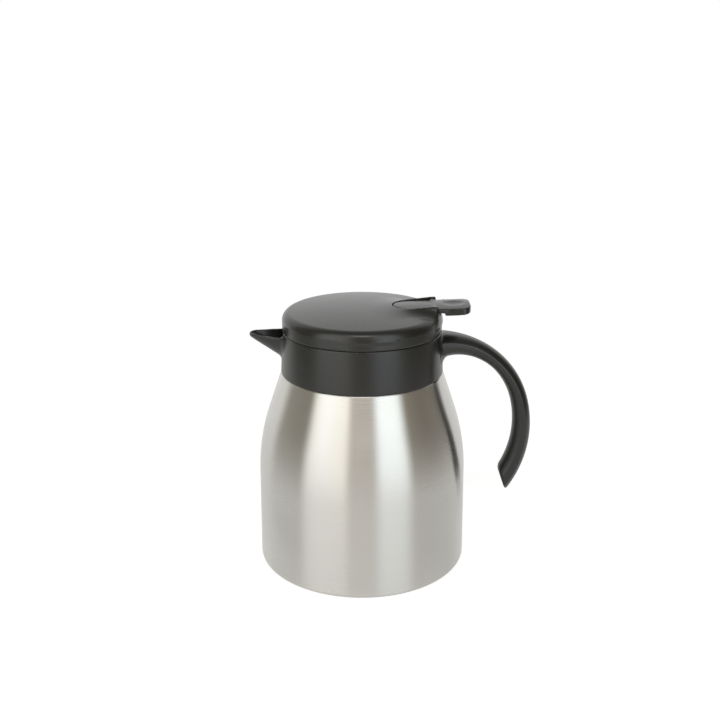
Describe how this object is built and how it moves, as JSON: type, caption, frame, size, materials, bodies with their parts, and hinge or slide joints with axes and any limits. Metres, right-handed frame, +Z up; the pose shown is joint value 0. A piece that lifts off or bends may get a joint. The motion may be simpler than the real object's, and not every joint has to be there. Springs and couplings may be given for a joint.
{
  "type": "thermal carafe with screw-in pouring stopper",
  "caption": "Double-walled steel carafe with a spouted plastic collar, a loop handle open at the bottom, and a screw-in stopper whose thumb lever lifts a spring-loaded valve.",
  "frame": {"origin": "on the body's axis, at the height of the surface that the foot ring stands on", "axes": "+Z up along the body's axis, -X towards the spout, +X towards the handle, +Y to the left of the handle seen from behind it"},
  "size_m": [0.1741, 0.13, 0.1658],
  "materials": {
    "brushed_steel": "brushed round the body, satin",
    "drawn_steel": "deep drawn and electropolished",
    "base_steel": "pressed, dull",
    "getter_steel": "sintered, grey",
    "fastener_steel": "bright rolled",
    "spring_steel": "drawn stainless wire and rod",
    "charcoal_moulding": "moulded, fine satin",
    "lid_moulding": "moulded, fine texture",
    "black_moulding": "moulded, smooth",
    "clear_silicone": "moulded silicone, matt"
  },
  "bodies": {
    "pot": {"outer_shell": "brushed_steel", "inner_vessel": "drawn_steel", "base_plate": "base_steel", "vacuum_cap": "base_steel", "getter": "getter_steel", "collar": "charcoal_moulding", "collar_seal": "clear_silicone", "thread_ring": "black_moulding", "handle_frame": "charcoal_moulding", "handle_cover": "charcoal_moulding", "handle_screws": "fastener_steel"},
    "gasket": {"neck_gasket": "clear_silicone"},
    "lid": {"lid_cover": "lid_moulding", "stopper_body": "black_moulding", "stopper_deck": "black_moulding", "deck_gasket": "clear_silicone", "lid_screws": "fastener_steel", "stem_seal": "clear_silicone", "valve_seat": "black_moulding", "valve_spring": "spring_steel", "lever_pin": "fastener_steel"},
    "lever": {"lever": "lid_moulding"},
    "valve": {"valve_stem": "spring_steel", "valve_disc": "black_moulding", "valve_seal": "clear_silicone", "stem_head": "black_moulding"}
  },
  "joints": [
    {"name": "lid_rise", "type": "slide", "parent": "pot", "child": "gasket", "axis": [0, 0, 1], "range_m": [0, 0.0601]},
    {"name": "lid_turn", "type": "hinge", "parent": "gasket", "child": "lid", "pos_m": [0, 0, 0.149], "axis": [0, 0, 1], "range_deg": [0, 1080]},
    {"name": "lever_press", "type": "hinge", "parent": "lid", "child": "lever", "pos_m": [0.043, 0, 0.1622], "axis": [0, 1, 0], "range_deg": [0, 8.6]},
    {"name": "valve_lift", "type": "slide", "parent": "lid", "child": "valve", "axis": [0, 0, 1], "range_m": [0, 0.00635], "stiffness_N_per_m": 575, "springref_m": -0.001, "deforming": ["valve_spring"]}
  ],
  "couplings": [
    {"joint": "lid_rise", "follows": "lid_turn", "m_per_rad": 0.0031831},
    {"joint": "lever_press", "follows": "valve_lift", "rad_per_m": 23.256}
  ]
}
